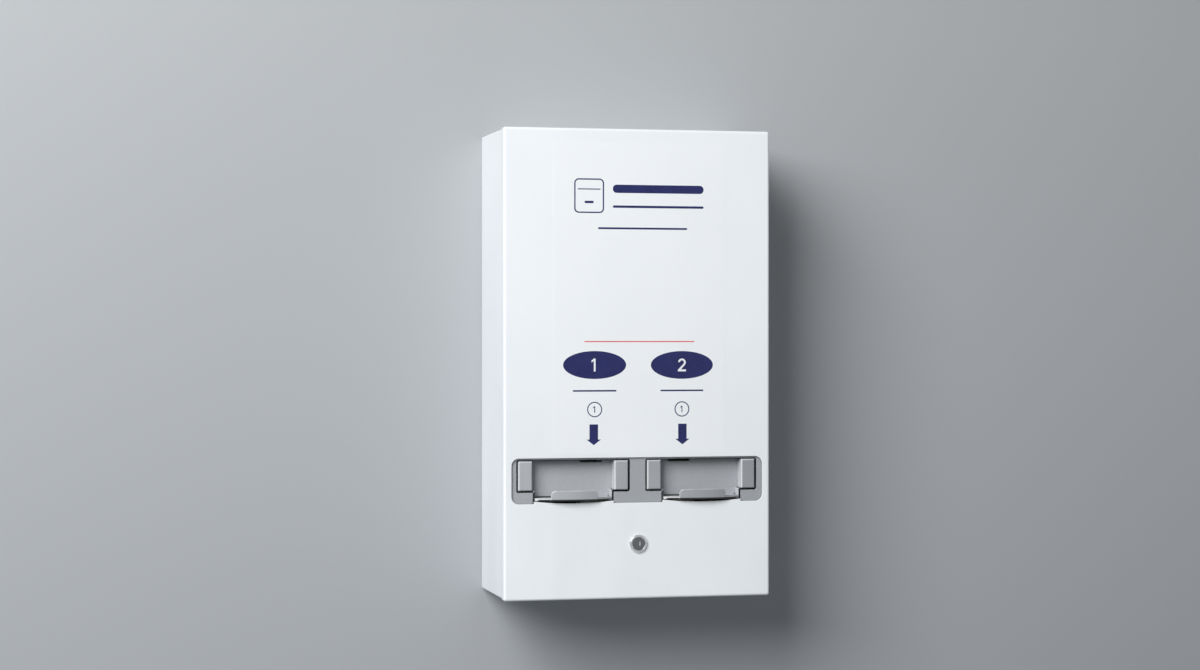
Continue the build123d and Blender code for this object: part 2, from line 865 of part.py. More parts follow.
def make_pawl_weight(unit_x, inward):
    """The balance weight spot-welded on the pawl's tail."""
    pawl_x = unit_x + inward * coin_offset
    rear = pawl_pin_y + pawl_tail
    half = pawl_width / 2
    front = rear - weight_length
    top = pawl_top + weight_height
    weight = slab(pawl_x - half, pawl_x + half, front, rear, pawl_top, top)
    return chamfer(weight.edges().filter_by(Axis.Z), weight_corner)


def make_pawl_pin(unit_x, inward):
    """The pin through the two ears and the pawl's eye, staked at both ends."""
    pawl_x = unit_x + inward * coin_offset
    half = pawl_width / 2 + pawl_side_play + pawl_ear + pawl_pin_end
    return rod_along_x(pawl_pin_y, pawl_pin_z, pawl_pin_radius, pawl_x - half, pawl_x + half)


def chute_profile(inset, extra):
    """Side view of the chute, drawn in by inset and run on by extra at both mouths."""
    slope = chute_fall / chute_run
    front = chute_front + inset
    back = chute_back - inset
    end = chute_front + chute_run + extra
    top = chute_top + extra
    rise = chute_depth + chute_sheet - 2 * inset
    bend = chute_top - chute_bend_drop + inset + inset * slope
    floor_end = bend - (end - front) * slope
    roof_start = bend - (back - front) * slope + rise
    return outline(
        [
            (front, top),
            (front, bend),
            (end, floor_end),
            (end, floor_end + rise),
            (back, roof_start),
            (back, top),
        ]
    )


def make_chute(chute_x):
    """The folded chute that takes a coin to the cash box, welded to the drawer frame by its flange."""
    half = chute_width / 2
    chute = across(chute_profile(0, 0), chute_x - half, chute_x + half)
    chute += slab(
        chute_x - half,
        chute_x + half,
        chute_back - chute_sheet,
        chute_back + chute_flange,
        frame_floor,
        frame_floor + chute_sheet,
    )
    inner = half - chute_sheet
    return chute - across(chute_profile(chute_sheet, overrun), chute_x - inner, chute_x + inner)


def make_cash_box():
    """The open cash box on the floor of the case, with a turned-over front lip to pull it by."""
    half = box_half_width
    box = slab(-half, half, box_front, box_rear, box_bottom, box_top)
    box = fillet(box.edges().filter_by(Axis.Z), box_corner)
    hollow = slab(
        -half + box_sheet,
        half - box_sheet,
        box_front + box_sheet,
        box_rear - box_sheet,
        box_bottom + box_sheet,
        box_top + overrun,
    )
    hollow = fillet(hollow.edges().filter_by(Axis.Z), box_corner - box_sheet)
    box -= hollow
    lip = outline(
        [
            (box_front, box_top),
            (box_front - box_lip, box_top),
            (box_front - box_lip, box_top - box_lip),
            (box_front - box_lip + box_sheet, box_top - box_lip),
            (box_front - box_lip + box_sheet, box_top - box_sheet),
            (box_front, box_top - box_sheet),
        ]
    )
    return box + across(lip, -box_grip_width / 2, box_grip_width / 2)


def make_column(unit_x):
    """The C-section column that holds the stack of packs, spot-welded to its rails, with four stop tabs."""
    centre_y = (column_front + column_back) / 2
    outer = Rectangle(2 * column_half_width, column_back - column_front)
    outer = fillet(outer.vertices(), column_corner)
    inner = Rectangle(column_inner_width, column_inner_depth)
    inner = chamfer(inner.vertices(), column_corner - column_sheet)
    gap = Rectangle(
        2 * (column_inner_width / 2 - column_front_lip),
        column_inner_depth,
        align=(Align.CENTER, Align.MAX),
    )
    section = outer - inner - gap
    plane = Plane.XY.offset(column_bottom)
    column = extrude(plane * (Pos(unit_x, centre_y) * section), amount=column_top - column_bottom)
    tab_low = column_bottom + stop_tab_rise
    for side in (-1, 1):
        wall = unit_x + side * (column_inner_width / 2 + column_sheet / 2)
        tip = unit_x + side * (column_inner_width / 2 - stop_tab_reach)
        for y in (column_front + stop_tab_inset, column_back - stop_tab_inset):
            column += slab(
                min(wall, tip),
                max(wall, tip),
                y - stop_tab_width / 2,
                y + stop_tab_width / 2,
                tab_low,
                tab_low + column_sheet,
            )
    return column


def make_rail(rail_z):
    """A hat-section rail welded to the back of the case, which carries both columns."""
    half = rail_height / 2
    flange = half + rail_flange
    wall = -case_sheet
    hat = outline(
        [
            (wall, -flange),
            (wall, -half + rail_sheet),
            (column_back + rail_sheet, -half + rail_sheet),
            (column_back + rail_sheet, half - rail_sheet),
            (wall, half - rail_sheet),
            (wall, flange),
            (wall - rail_sheet, flange),
            (wall - rail_sheet, half),
            (column_back, half),
            (column_back, -half),
            (wall - rail_sheet, -half),
            (wall - rail_sheet, -flange),
        ]
    )
    return Pos(0, 0, rail_z) * across(hat, -rail_half_width, rail_half_width)


def make_follower(unit_x):
    """The cast weight that presses the stack down, with a finger tongue through the front of the column."""
    half = column_inner_width / 2 - follower_side_gap
    front = column_front + column_sheet + follower_front_gap
    rear = column_back - column_sheet - follower_rear_gap
    top = follower_bottom + follower_plate
    plate = slab(unit_x - half, unit_x + half, front, rear, follower_bottom, top)
    plate = chamfer(plate.edges().filter_by(Axis.Z), follower_corner)
    plate = chamfer(plate.edges().group_by(Axis.Z)[-1], follower_front_gap)
    tongue_half = column_inner_width / 2 - column_front_lip - follower_tongue_gap
    left = unit_x - tongue_half
    right = unit_x + tongue_half
    reach = column_front - follower_tongue_reach
    thick = follower_tongue_plate
    tongue = slab(left, right, reach, front + follower_corner, follower_bottom, follower_bottom + thick)
    upright_top = follower_bottom + follower_tongue_rise
    upright = slab(left, right, reach, reach + thick, follower_bottom, upright_top)
    upright = fillet(upright.edges().filter_by(Axis.Y).group_by(Axis.Z)[-1], tab_corner)
    return plate + tongue + upright


def make_lock_body():
    """The lock's housing: a bevelled head on the cover and a barrel with two flats through it."""
    head = rod_along_y(0, lock_z, lock_head_radius, cover_front, cover_front - lock_head_height)
    head = chamfer(head.faces().sort_by(Axis.Y)[0].edges(), lock_head_edge)
    barrel = toward_front(Pos(0, lock_z) * lock_hole(0), barrel_rear, cover_front)
    body = head + barrel
    sink_front = cover_front - lock_head_height
    sink_back = sink_front + lock_counterbore_depth
    body -= rod_along_y(0, lock_z, lock_counterbore_radius, sink_back, sink_front - overrun)
    return body - rod_along_y(0, lock_z, plug_radius + plug_play, barrel_rear + overrun, sink_front)


def make_lock_plug():
    """The turning plug: a dark disc with a key slit, a round shaft and a square tang for the cam."""
    front = cover_front - lock_head_height + plug_sink
    head_back = cover_front - lock_head_height + lock_counterbore_depth - plug_seat_gap
    plug = rod_along_y(0, lock_z, lock_counterbore_radius - plug_head_play, head_back, front)
    plug += rod_along_y(0, lock_z, plug_radius, barrel_rear, head_back)
    tang_end = cam_front + cam_thickness
    square = Pos(0, lock_z) * Rectangle(cam_square, cam_square)
    plug += toward_front(square, tang_end, barrel_rear)
    slot = Pos(key_slot_offset, lock_z) * Rectangle(key_slot_width, key_slot_length)
    plug -= toward_front(slot, front + key_slot_depth, front - overrun)
    pilot = cam_screw_radius + thread_play
    return plug - rod_along_y(0, lock_z, pilot, tang_end + overrun, tang_end - cam_screw_length)


def make_lock_nut():
    """The hexagon nut that clamps the lock in the cover."""
    hexagon = RegularPolygon(lock_nut_across / 2, 6, major_radius=False)
    ring = hexagon - Circle(lock_barrel_radius + thread_play)
    return toward_front(Pos(0, lock_z) * ring, cover_back + lock_nut_height, cover_back)


def make_cam():
    """The flat cam, with a square hole and a rounded tip, drawn unlocked: it points to the right."""
    root = Circle(cam_width / 2)
    arm_half = cam_tip_radius
    arm = rectangle_between(0, cam_length - cam_tip_radius, -arm_half, arm_half)
    tip = Pos(cam_length - cam_tip_radius, 0) * Circle(cam_tip_radius)
    square = cam_square + 2 * cam_square_play
    cam = root + arm + tip - Rectangle(square, square)
    return toward_front(Pos(0, lock_z) * cam, cam_front + cam_thickness, cam_front)


def make_cam_screw():
    """The hexagon-head screw that holds the cam on the plug's tang."""
    seat = cam_front + cam_thickness
    screw = rod_along_y(0, lock_z, cam_screw_radius, seat, seat - cam_screw_length + cam_screw_tip_gap)
    head = Pos(0, lock_z) * RegularPolygon(cam_screw_head, 6, major_radius=False)
    return screw + toward_front(head, seat + cam_screw_head_height, seat)


def make_strike():
    """The angle on the case floor that the cam turns down behind."""
    top = lock_z - cam_length + strike_overlap
    half = strike_width / 2
    strike = slab(-half, half, strike_back - strike_sheet, strike_back, case_floor_z, top)
    top_edges = strike.edges().filter_by(Axis.Y).group_by(Axis.Z)[-1]
    strike = fillet(top_edges, strike_corner)
    foot_end = strike_back - strike_sheet + strike_foot
    return strike + slab(-half, half, strike_back, foot_end, case_floor_z, case_floor_z + strike_sheet)


os.makedirs("parts", exist_ok=True)

hinge_case_leaf, hinge_cover_leaf = make_hinge_leaves()
parts = {
    "case_shell": make_case(),
    "hinge_leaf_case": hinge_case_leaf,
    "hinge_pin": make_hinge_pin(),
    "column_rail_upper": make_rail(upper_rail_z),
    "column_rail_lower": make_rail(lower_rail_z),
    "mechanism_shelf": make_shelf(),
    "shelf_angles": make_shelf_angles(),
    "shelf_screws": Compound([screw_down(x, y, frame_base) for x, y in shelf_screw_xy()]),
    "cash_box": make_cash_box(),
    "strike_bracket": make_strike(),
    "cover_shell": make_cover(),
    "hinge_leaf_cover": hinge_cover_leaf,
    "bezel": make_bezel(),
    "bezel_clips": make_bezel_clips(),
    "lock_body": make_lock_body(),
    "lock_nut": make_lock_nut(),
    "lock_plug": make_lock_plug(),
    "lock_cam": make_cam(),
    "cam_screw": make_cam_screw(),
}
for hand, inward in (("left", 1), ("right", -1)):
    centre_x = -inward * unit_pitch / 2
    chute_x = centre_x + inward * coin_offset
    parts[f"column_{hand}"] = make_column(centre_x)
    parts[f"follower_weight_{hand}"] = make_follower(centre_x)
    parts[f"drawer_fascia_{hand}"] = make_fascia(centre_x, inward)
    parts[f"drawer_tray_{hand}"] = make_tray(centre_x)
    parts[f"drawer_frame_{hand}"] = make_frame(centre_x, inward)
    parts[f"runners_{hand}"] = make_runners(centre_x)
    parts[f"coin_pawl_{hand}"] = make_pawl(centre_x, inward)
    parts[f"pawl_weight_{hand}"] = make_pawl_weight(centre_x, inward)
    parts[f"pawl_pin_{hand}"] = make_pawl_pin(centre_x, inward)
    parts[f"coin_chute_{hand}"] = make_chute(chute_x)

for name, part in parts.items():
    export_step(part, f"parts/{name}.step")
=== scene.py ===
import math

import bmesh
import bpy
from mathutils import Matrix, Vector


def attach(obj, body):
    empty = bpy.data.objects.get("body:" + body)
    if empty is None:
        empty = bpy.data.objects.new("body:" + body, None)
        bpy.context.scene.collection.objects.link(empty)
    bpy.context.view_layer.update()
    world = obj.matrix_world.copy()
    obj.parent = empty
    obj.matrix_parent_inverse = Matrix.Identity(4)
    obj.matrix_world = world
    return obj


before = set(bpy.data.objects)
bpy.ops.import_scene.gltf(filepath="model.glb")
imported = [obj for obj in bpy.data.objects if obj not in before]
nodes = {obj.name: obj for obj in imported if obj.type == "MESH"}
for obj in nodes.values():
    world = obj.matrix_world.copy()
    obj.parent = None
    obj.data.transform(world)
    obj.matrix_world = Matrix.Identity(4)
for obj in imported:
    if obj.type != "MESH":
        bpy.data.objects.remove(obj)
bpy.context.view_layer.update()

# Where the cabinet hangs
# It hangs on a plain painted wall, seen from a little to its left at mid height.
# Wall and floor show from the room alone and let the lamps through, so back and foot can be looked at.
camera_turn = -13.26
view_camera = bpy.data.objects.new("view_camera", bpy.data.cameras.new("view_camera"))
view_camera.data.lens = 74.27
view_camera.data.sensor_width = 36.0
view_camera.data.clip_end = 50.0
view_camera.location = (-0.7736, -3.2313, 0.0367)
view_camera.rotation_euler = (math.radians(90.0), 0.0, math.radians(camera_turn))
bpy.context.collection.objects.link(view_camera)
bpy.context.scene.camera = view_camera
bpy.context.scene.view_settings.view_transform = "Standard"


def new_finish(name):
    """A new material: (material, its node tree, its Principled shader)."""
    material = bpy.data.materials.new(name)
    material.use_nodes = True
    tree = material.node_tree
    return material, tree, tree.nodes["Principled BSDF"]


def set_input(socket, value):
    """Links a socket to another one, or sets it to a constant."""
    if isinstance(value, bpy.types.NodeSocket):
        socket.id_data.links.new(value, socket)
    else:
        socket.default_value = value


def give(node, **values):
    """Sets a node's inputs, with _ for a space in their names."""
    for label, value in values.items():
        set_input(node.inputs[label.replace("_", " ")], value)


def pattern(tree, kind, **values):
    """A texture node, laid out in the part's own metres unless it is given a Vector."""
    if "Vector" not in values:
        values["Vector"] = tree.nodes.new("ShaderNodeTexCoord").outputs["Object"]
    texture = tree.nodes.new(kind)
    give(texture, **values)
    return texture


def axes(tree, kind="Object"):
    """The X, Y and Z of a place on the part, or of its Normal there."""
    place = tree.nodes.new("ShaderNodeTexCoord")
    split = tree.nodes.new("ShaderNodeSeparateXYZ")
    set_input(split.inputs[0], place.outputs[kind])
    return [split.outputs[axis] for axis in "XYZ"]


def blend(mask, low, high):
    """A colour that goes from low to high as a mask goes from 0 to 1."""
    mix = mask.id_data.nodes.new("ShaderNodeMix")
    mix.data_type = "RGBA"
    set_input(mix.inputs["Factor"], mask)
    for label, colour in (("A", low), ("B", high)):  # a Mix has an A and a B of every kind
        socket = [s for s in mix.inputs if s.name == label and s.type == "RGBA"][0]
        set_input(socket, colour if isinstance(colour, bpy.types.NodeSocket) else (*colour, 1.0))
    return [s for s in mix.outputs if s.type == "RGBA"][0]


def spread(value, from_low, from_high, to_low=0.0, to_high=1.0):
    """A value remapped from one range to another, and held inside it."""
    remap = value.id_data.nodes.new("ShaderNodeMapRange")
    give(remap, Value=value, From_Min=from_low, From_Max=from_high, To_Min=to_low, To_Max=to_high)
    return remap.outputs["Result"]


def join(operation, first, second=0.0):
    """Two values joined by one operation, or one value put through it."""
    node = first.id_data.nodes.new("ShaderNodeMath")
    node.operation = operation
    set_input(node.inputs[0], first)
    set_input(node.inputs[1], second)
    return node.outputs[0]


def bump_from(shader, height, distance, soft_normal=None, strength=1.0):
    """A bump on a shader's normal, of a height given in metres."""
    bump = shader.id_data.nodes.new("ShaderNodeBump")
    give(bump, Strength=strength, Distance=distance, Height=height)
    if soft_normal is not None:
        give(bump, Normal=soft_normal)
    give(shader, Normal=bump.outputs["Normal"])


def one_sided(shader):
    """Makes a sheet clear from behind and to lamps, and solid to all else."""
    tree = shader.id_data
    side = tree.nodes.new("ShaderNodeNewGeometry")
    path = tree.nodes.new("ShaderNodeLightPath")
    clear = tree.nodes.new("ShaderNodeBsdfTransparent")
    mix = tree.nodes.new("ShaderNodeMixShader")
    set_input(mix.inputs[0], join("MAXIMUM", side.outputs["Backfacing"], path.outputs["Is Shadow Ray"]))
    set_input(mix.inputs[1], shader.outputs[0])
    set_input(mix.inputs[2], clear.outputs[0])
    set_input(tree.nodes["Material Output"].inputs["Surface"], mix.outputs[0])


def seen_straight(tree):
    """A mask of what the camera sees, by itself or in a glossy face."""
    path = tree.nodes.new("ShaderNodeLightPath")
    return join("MAXIMUM", path.outputs["Is Camera Ray"], path.outputs["Is Glossy Ray"])


def bare_sheet(name, corners):
    """A single rectangle through four corners."""
    mesh = bpy.data.meshes.new(name)
    mesh.from_pydata([Vector(c) for c in corners], [], [(0, 1, 2, 3)])
    sheet = bpy.data.objects.new(name, mesh)
    bpy.context.collection.objects.link(sheet)
    return sheet


wall_reach, wall_foot, wall_top = 4.0, -1.5, 2.4
wall_face_y = 0.0008
wall_shade_reach = 0.45
room_reach = 6.0
wall = bare_sheet("room_wall", [
    (-wall_reach, wall_face_y, wall_foot),
    (wall_reach, wall_face_y, wall_foot),
    (wall_reach, wall_face_y, wall_top),
    (-wall_reach, wall_face_y, wall_top),
])
room_floor = bare_sheet("room_floor", [
    (-wall_reach, -room_reach, wall_foot),
    (wall_reach, -room_reach, wall_foot),
    (wall_reach, room_reach, wall_foot),
    (-wall_reach, room_reach, wall_foot),
])

wall_paint, wall_tree, wall_shader = new_finish("wall_paint")
wall_roller = pattern(wall_tree, "ShaderNodeTexNoise", Scale=260.0, Detail=3.0)
# The wall is darker towards the bottom: painted shade for the light falling off.
wall_shade_by_height = spread(axes(wall_tree)[2], -wall_shade_reach, wall_shade_reach)
give(
    wall_shader,
    Base_Color=blend(wall_shade_by_height, (0.365, 0.382, 0.405), (0.405, 0.422, 0.436)),
    Roughness=0.9,
    Specular_IOR_Level=0.2,
)
bump_from(wall_shader, wall_roller.outputs["Fac"], 0.0002, strength=0.15)
one_sided(wall_shader)
wall.data.materials.append(wall_paint)

floor_paint, floor_tree, floor_shader = new_finish("floor_paint")
floor_fleck = pattern(floor_tree, "ShaderNodeTexNoise", Scale=45.0, Detail=6.0)
floor_pale = blend(floor_fleck.outputs["Fac"], (0.70, 0.71, 0.72), (0.76, 0.77, 0.78))
give(
    floor_shader,
    Base_Color=blend(seen_straight(floor_tree), (0.30, 0.31, 0.32), floor_pale),
    Roughness=0.8,
)
one_sided(floor_shader)
room_floor.data.materials.append(floor_paint)

# The light
# A large soft lamp high on the left gives the bright left bend and the shadow to the lower right.
# Three weak ones fill the front, the right side and the back, which the wall would leave dark.


def soft_lamp(name, place, aim, size, watts, spread_degrees=180.0):
    """A square area lamp that looks at a point."""
    data = bpy.data.lights.new(name, "AREA")
    data.shape = "SQUARE"
    data.size = size
    data.energy = watts
    data.spread = math.radians(spread_degrees)
    lamp = bpy.data.objects.new(name, data)
    lamp.location = place
    lamp.rotation_euler = (Vector(aim) - Vector(place)).to_track_quat("-Z", "Y").to_euler()
    bpy.context.collection.objects.link(lamp)


def between(mask, low, high):
    """A value that goes from low to high as a mask goes from 0 to 1."""
    return spread(mask, 0.0, 1.0, low, high)


cabinet_middle = (0.0, -0.08, 0.0)
cabinet_side = (0.17, -0.12, 0.0)
cabinet_back = (0.0, 0.0, 0.0)
soft_lamp("key_lamp", (-2.30, -2.65, 1.84), cabinet_middle, size=2.5, watts=204.0)
soft_lamp("fill_lamp", (1.9, -2.8, 0.5), cabinet_middle, size=2.2, watts=2.0)
soft_lamp("side_lamp", (2.6, -0.42, 0.35), cabinet_side, size=0.9, watts=0.5, spread_degrees=50.0)
soft_lamp("back_lamp", (0.6, 2.4, 0.8), cabinet_back, size=1.6, watts=3.0, spread_degrees=55.0)

air_glow, air_seen_glow = 0.16, 0.60
room_air = bpy.data.worlds.new("room_air")
bpy.context.scene.world = room_air
room_air.use_nodes = True
give(
    room_air.node_tree.nodes["Background"],
    Color=(0.80, 0.83, 0.86, 1.0),
    Strength=between(seen_straight(room_air.node_tree), air_glow, air_seen_glow),
)


def new_group(name, inputs, outputs):
    """A shader node group with named sockets: (group, its inputs, its outputs)."""
    group = bpy.data.node_groups.new(name, "ShaderNodeTree")
    for label, value in inputs:
        socket = group.interface.new_socket(label, in_out="INPUT", socket_type="NodeSocketFloat")
        socket.default_value = value
    for label, kind in outputs:
        group.interface.new_socket(label, in_out="OUTPUT", socket_type=kind)
    given = group.nodes.new("NodeGroupInput")
    made = group.nodes.new("NodeGroupOutput")
    return group, given.outputs, made.inputs


def place_group(tree, group, **values):
    """Puts a node group in a material, sets its inputs as give does, and returns its outputs."""
    node = tree.nodes.new("ShaderNodeGroup")
    node.node_tree = group
    give(node, **values)
    return node.outputs


def dress(material, *names):
    """Puts a material on CAD nodes, in place of what they came with."""
    for name in names:
        mesh = nodes[name].data
        mesh.materials.clear()
        mesh.materials.append(material)


# An edge band: wear on the metals, and on the mouldings partly painted highlight and painted shade.
edge_band, rub_in, rub_out = new_group(
    "edge_band",
    [("Radius", 0.001), ("Breakup", 60.0)],
    [("Edge", "NodeSocketFloat"), ("Soft Normal", "NodeSocketVector")],
)
rub_bevel = edge_band.nodes.new("ShaderNodeBevel")
rub_bevel.samples = 6
rub_face = edge_band.nodes.new("ShaderNodeNewGeometry")
rub_dot = edge_band.nodes.new("ShaderNodeVectorMath")
rub_dot.operation = "DOT_PRODUCT"
rub_noise = pattern(edge_band, "ShaderNodeTexNoise", Scale=rub_in["Breakup"], Detail=4.0)
give(rub_bevel, Radius=rub_in["Radius"])
set_input(rub_dot.inputs[0], rub_bevel.outputs["Normal"])
set_input(rub_dot.inputs[1], rub_face.outputs["Normal"])
flat_dot, sharp_dot = 0.995, 0.86
rub_edge = spread(rub_dot.outputs["Value"], flat_dot, sharp_dot)
rub_patches = spread(rub_noise.outputs["Fac"], 0.35, 0.6, 0.25, 1.0)
set_input(rub_out["Edge"], join("MULTIPLY", rub_edge, rub_patches))
set_input(rub_out["Soft Normal"], rub_bevel.outputs["Normal"])

fine_grain, grain_in, grain_out = new_group(
    "fine_grain",
    [("Grain", 900.0), ("Cloud", 7.0), ("Detail", 2.0)],
    [("Height", "NodeSocketFloat"), ("Mottle", "NodeSocketFloat")],
)
grain_noise = pattern(fine_grain, "ShaderNodeTexNoise", Scale=grain_in["Grain"], Detail=grain_in["Detail"])
cloud_noise = pattern(fine_grain, "ShaderNodeTexNoise", Scale=grain_in["Cloud"], Detail=5.0, Roughness=0.6)
set_input(grain_out["Height"], grain_noise.outputs["Fac"])
set_input(grain_out["Mottle"], spread(cloud_noise.outputs["Fac"], 0.35, 0.65))

# Darker towards the bottom, in streaks.
low_darkening, low_in, low_out = new_group(
    "low_darkening",
    [("Bottom", -0.3), ("Top", 0.0), ("Streak", 14.0)],
    [("Darkening", "NodeSocketFloat")],
)
low_stretch = pattern(low_darkening, "ShaderNodeMapping", Scale=(1.0, 1.0, 0.25))
low_noise = pattern(
    low_darkening, "ShaderNodeTexNoise", Vector=low_stretch.outputs["Vector"],
    Scale=low_in["Streak"], Detail=6.0,
)
low_fade = spread(axes(low_darkening)[2], low_in["Top"], low_in["Bottom"])
low_streaks = spread(low_noise.outputs["Fac"], 0.4, 0.7)
set_input(low_out["Darkening"], join("MULTIPLY", low_fade, low_streaks))

white_coat, coat_tree, coat_shader = new_finish("white_powder_coat")
coat_grain = place_group(coat_tree, fine_grain, Grain=620.0, Cloud=5.0, Detail=1.5)
coat_edge_band = place_group(coat_tree, edge_band, Radius=0.0014, Breakup=90.0)
# The coat is darker towards the bottom, in streaks, and paler along its edges.
coat_low_darkening = place_group(coat_tree, low_darkening, Bottom=-0.32, Top=0.05, Streak=9.0)
coat_cloud = blend(coat_grain["Mottle"], (0.800, 0.832, 0.860), (0.828, 0.858, 0.882))
coat_pale_edges = blend(coat_edge_band["Edge"], coat_cloud, (0.86, 0.885, 0.90))
give(
    coat_shader,
    Base_Color=blend(coat_low_darkening["Darkening"], coat_pale_edges, (0.735, 0.765, 0.79)),
    Roughness=between(coat_grain["Mottle"], 0.30, 0.42),
    Specular_IOR_Level=0.45,
)
bump_from(coat_shader, coat_grain["Height"], 0.00006, coat_edge_band["Soft Normal"], strength=0.5)
dress(white_coat, "case_shell", "cover_shell")

# Hinge
# A long strip hinge of rolled steel under the cover's top return: two leaves, spot-welded, and a drawn pin.
# Rolled bright and lightly oiled, with fine lines along its length and brighter edges.
hinge_steel, hinge_tree, hinge_shader = new_finish("hinge_steel")
hinge_stretch = pattern(hinge_tree, "ShaderNodeMapping", Scale=(12.0, 900.0, 900.0))
hinge_lines = pattern(
    hinge_tree, "ShaderNodeTexNoise", Vector=hinge_stretch.outputs["Vector"], Scale=1.0, Detail=6.0,
)
hinge_line = hinge_lines.outputs["Fac"]
hinge_rub = place_group(hinge_tree, edge_band, Radius=0.0004, Breakup=200.0)
hinge_tone = blend(hinge_line, (0.44, 0.445, 0.45), (0.60, 0.60, 0.595))
give(
    hinge_shader,
    Base_Color=blend(hinge_rub["Edge"], hinge_tone, (0.74, 0.74, 0.73)),
    Roughness=spread(hinge_line, 0.3, 0.7, 0.24, 0.42),
    Metallic=1.0,
)
bump_from(hinge_shader, hinge_line, 0.00001, hinge_rub["Soft Normal"])
dress(hinge_steel, "hinge_leaf_case", "hinge_leaf_cover", "hinge_pin")

# Folded inner sheet
# Rails, columns, shelf, angles, frames, trays, chutes, strike and cash box: folded and welded steel sheet.
# It is zinc plated, with soft spangles in two greys, warmer clouds, and brighter rubbed edges.
zinc_sheet, zinc_tree, zinc_shader = new_finish("zinc_plated_sheet")
zinc_cells = pattern(zinc_tree, "ShaderNodeTexVoronoi", Scale=95.0, Randomness=1.0)
zinc_grey = zinc_tree.nodes.new("ShaderNodeSeparateColor")
set_input(zinc_grey.inputs["Color"], zinc_cells.outputs["Color"])
zinc_grain = place_group(zinc_tree, fine_grain, Grain=1400.0, Cloud=22.0, Detail=3.0)
zinc_rub = place_group(zinc_tree, edge_band, Radius=0.0006, Breakup=140.0)
zinc_tone = blend(zinc_grey.outputs["Red"], (0.47, 0.485, 0.50), (0.60, 0.61, 0.62))
zinc_cloud = blend(zinc_grain["Mottle"], zinc_tone, (0.55, 0.545, 0.52))
give(
    zinc_shader,
    Base_Color=blend(zinc_rub["Edge"], zinc_cloud, (0.76, 0.765, 0.77)),
    Roughness=between(zinc_grey.outputs["Green"], 0.32, 0.50),
    Metallic=1.0,
)
bump_from(zinc_shader, zinc_grain["Height"], 0.00001, zinc_rub["Soft Normal"])
dress(
    zinc_sheet, "column_rail_upper", "column_rail_lower", "column_left", "column_right",
    "mechanism_shelf", "shelf_angles", "strike_bracket", "cash_box",
    "drawer_frame_left", "drawer_frame_right", "coin_chute_left", "coin_chute_right",
    "drawer_tray_left", "drawer_tray_right",
)

# Followers and pawl weights
# Cast iron, dipped in dark enamel: the followers press the stacks down, the small ones balance the pawls.
# The casting skin is sandy, and the enamel is rubbed to grey metal along the edges.
cast_enamel, cast_tree, cast_shader = new_finish("cast_weight")
cast_grain = place_group(cast_tree, fine_grain, Grain=700.0, Cloud=40.0, Detail=6.0)
cast_rub = place_group(cast_tree, edge_band, Radius=0.0012, Breakup=260.0)
cast_tone = blend(cast_grain["Mottle"], (0.035, 0.036, 0.038), (0.060, 0.061, 0.064))
give(
    cast_shader,
    Base_Color=blend(cast_rub["Edge"], cast_tone, (0.26, 0.26, 0.265)),
    Roughness=spread(cast_grain["Height"], 0.3, 0.7, 0.45, 0.7),
    Metallic=between(cast_rub["Edge"], 0.0, 0.9),
)
bump_from(cast_shader, cast_grain["Height"], 0.00018, cast_rub["Soft Normal"])
dress(cast_enamel, "follower_weight_left", "follower_weight_right", "pawl_weight_left", "pawl_weight_right")

# Runners
# Moulded in natural nylon, clipped through the drawer frames, and left dry.
# The nylon is milky, with flow clouds, and paler where it is rubbed.
runner_nylon, nylon_tree, nylon_shader = new_finish("runner_nylon")
nylon_grain = place_group(nylon_tree, fine_grain, Grain=1100.0, Cloud=55.0, Detail=2.0)
nylon_rub = place_group(nylon_tree, edge_band, Radius=0.0005, Breakup=180.0)
nylon_tone = blend(nylon_grain["Mottle"], (0.72, 0.70, 0.63), (0.80, 0.785, 0.73))
give(
    nylon_shader,
    Base_Color=blend(nylon_rub["Edge"], nylon_tone, (0.86, 0.85, 0.81)),
    Roughness=between(nylon_grain["Mottle"], 0.34, 0.5),
    Subsurface_Weight=0.15,
    Subsurface_Radius=(0.002, 0.002, 0.0015),
)
bump_from(nylon_shader, nylon_grain["Height"], 0.00002, nylon_rub["Soft Normal"])
dress(runner_nylon, "runners_left", "runners_right")

# Pawls and cam
# Blanked from 1.6 and 2 mm steel, tumbled to take the burr off, and left bare with a film of oil.
# Tumbling leaves short crossed scratches, and the edges are bright.
pawl_steel, pawl_tree, pawl_shader = new_finish("pawl_steel")
pawl_scratch = pattern(pawl_tree, "ShaderNodeTexVoronoi", Scale=480.0)
pawl_scratch.feature = "DISTANCE_TO_EDGE"
pawl_grain = place_group(pawl_tree, fine_grain, Grain=1600.0, Cloud=70.0, Detail=5.0)
pawl_rub = place_group(pawl_tree, edge_band, Radius=0.0004, Breakup=300.0)
pawl_tone = blend(pawl_grain["Mottle"], (0.36, 0.355, 0.34), (0.50, 0.49, 0.47))
give(
    pawl_shader,
    Base_Color=blend(pawl_rub["Edge"], pawl_tone, (0.72, 0.71, 0.69)),
    Roughness=spread(pawl_scratch.outputs["Distance"], 0.0, 0.2, 0.46, 0.3),
    Metallic=1.0,
)
bump_from(pawl_shader, pawl_scratch.outputs["Distance"], 0.00002, pawl_rub["Soft Normal"])
dress(pawl_steel, "coin_pawl_left", "coin_pawl_right", "lock_cam")

